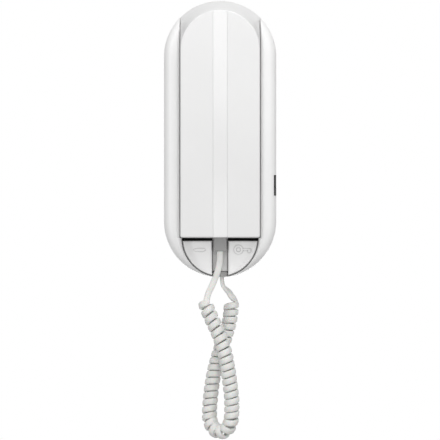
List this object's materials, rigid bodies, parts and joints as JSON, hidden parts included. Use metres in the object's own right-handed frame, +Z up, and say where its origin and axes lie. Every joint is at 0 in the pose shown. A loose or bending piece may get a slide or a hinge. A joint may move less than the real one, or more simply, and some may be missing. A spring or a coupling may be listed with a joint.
{
  "type": "audio intercom handset",
  "caption": "Wall-mounted audio door intercom: a base with wings, a lift-off handset between them, push keys below, a volume slider and a hanging curly cord.",
  "frame": {"origin": "middle of the housing, on the wall face of the wall plate", "axes": "+Y points into the wall, +Z up, +X to the right of a user who faces the wall"},
  "size_m": [0.09, 0.056, 0.3513],
  "materials": {
    "body_plastic": "smooth, slightly glossy clean white",
    "cover_plastic": "smooth, slightly glossy clean white",
    "stripe_plastic": "polished white",
    "key_plastic": "satin off-white",
    "channel_plastic": "satin light grey",
    "tongue_plastic": "satin mid grey",
    "hidden_plastic": "plain moulded",
    "dark_plastic": "satin black",
    "cord_plastic": "soft satin off-white",
    "relief_rubber": "matt light grey",
    "dark_rubber": "matt black",
    "foam": "fine grey foam",
    "cloth": "fine black mesh",
    "screw_steel": "zinc plated",
    "capsule_steel": "plain pressed metal",
    "terminal_brass": "plain turned",
    "board_laminate": "green solder mask",
    "terminal_plastic": "plain moulded green",
    "wire_plastic": "plain sleeved wire"
  },
  "bodies": {
    "base": {"wall_plate": "hidden_plastic", "front_cover": "cover_plastic", "cover_screws": "screw_steel", "channel_plate": "channel_plastic", "key_mat": "dark_rubber", "talk_switch": "dark_plastic", "door_switch": "dark_plastic", "circuit_board": "board_laminate", "board_screws": "screw_steel", "hook_switch": "dark_plastic", "ringer": "capsule_steel", "ringer_gasket": "foam", "terminal_block": "terminal_plastic", "terminal_screws": "terminal_brass", "setting_pins": "dark_plastic", "control_chip": "dark_plastic", "transformer": "capsule_steel", "capacitors": "dark_plastic", "volume_switch": "dark_plastic", "base_strain_relief": "relief_rubber", "base_connector": "hidden_plastic", "curly_cord": "cord_plastic"},
    "handset": {"handset_back_shell": "body_plastic", "handset_front_shell": "body_plastic", "front_stripe": "stripe_plastic", "handset_screws": "screw_steel", "handset_tongue": "tongue_plastic", "receiver_seal": "foam", "receiver_cloth": "cloth", "receiver": "capsule_steel", "microphone_boot": "dark_rubber", "microphone": "capsule_steel", "ballast_plate": "capsule_steel", "handset_strain_relief": "relief_rubber", "handset_connector": "hidden_plastic", "receiver_wires": "wire_plastic", "microphone_wires": "wire_plastic"},
    "talk_button": {"talk_key": "key_plastic"},
    "door_button": {"door_key": "key_plastic"},
    "talk_pin": {"talk_plunger": "dark_plastic"},
    "door_pin": {"door_plunger": "dark_plastic"},
    "hook_pin": {"hook_rod": "hidden_plastic"},
    "volume_slider": {"volume_knob": "dark_plastic"}
  },
  "joints": [
    {"name": "handset_lift", "type": "slide", "parent": "base", "child": "handset", "axis": [0, -1, 0], "range_m": [0, 0.05]},
    {"name": "hook_rise", "type": "slide", "parent": "base", "child": "hook_pin", "axis": [0, -1, 0], "range_m": [0, 0.004]},
    {"name": "talk_press", "type": "slide", "parent": "base", "child": "talk_button", "axis": [0, 1, 0], "range_m": [0, 0.0015], "stiffness_N_per_m": 1000},
    {"name": "door_press", "type": "slide", "parent": "base", "child": "door_button", "axis": [0, 1, 0], "range_m": [0, 0.0015], "stiffness_N_per_m": 1000},
    {"name": "talk_switch_press", "type": "slide", "parent": "base", "child": "talk_pin", "axis": [0, 1, 0], "range_m": [0, 0.0015]},
    {"name": "door_switch_press", "type": "slide", "parent": "base", "child": "door_pin", "axis": [0, 1, 0], "range_m": [0, 0.0015]},
    {"name": "volume_slide", "type": "slide", "parent": "base", "child": "volume_slider", "axis": [0, 0, 1], "range_m": [0, 0.01]}
  ],
  "couplings": [
    {"joint": "hook_rise", "follows": "handset_lift", "ratio": 0.08},
    {"joint": "talk_switch_press", "follows": "talk_press", "ratio": 1},
    {"joint": "door_switch_press", "follows": "door_press", "ratio": 1}
  ]
}
